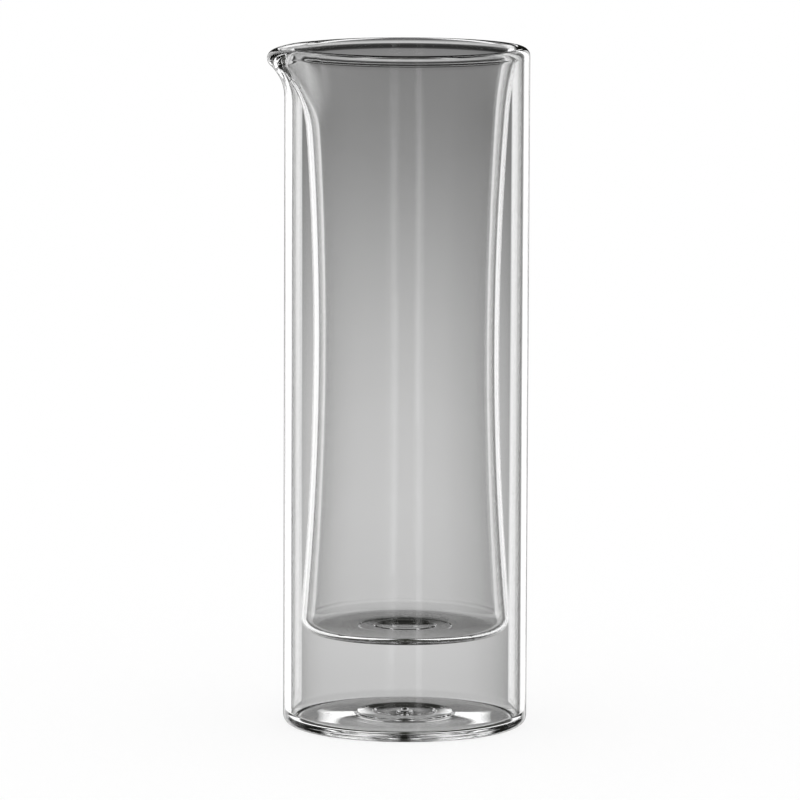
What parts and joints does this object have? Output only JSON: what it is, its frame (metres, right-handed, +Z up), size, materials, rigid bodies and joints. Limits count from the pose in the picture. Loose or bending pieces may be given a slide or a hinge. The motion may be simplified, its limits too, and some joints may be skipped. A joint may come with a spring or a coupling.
{
  "type": "cocktail pitcher",
  "caption": "Tall cylindrical double-wall glass pitcher with a waisted inner vessel, a thick rounded lip and a small pulled pouring spout.",
  "frame": {"origin": "centre of the foot ring, on the surface that the pitcher stands on", "axes": "+Z up along the pitcher's axis, spout towards -X, so a viewer with the spout on the left looks along +Y"},
  "size_m": [0.0964, 0.09, 0.251],
  "materials": {
    "borosilicate_glass": "clear, flame-polished"
  },
  "bodies": {
    "root": {"outer_jacket": "borosilicate_glass", "jacket_base": "borosilicate_glass", "inner_vessel": "borosilicate_glass", "pouring_rim": "borosilicate_glass", "vent_seal": "borosilicate_glass"}
  },
  "joints": []
}
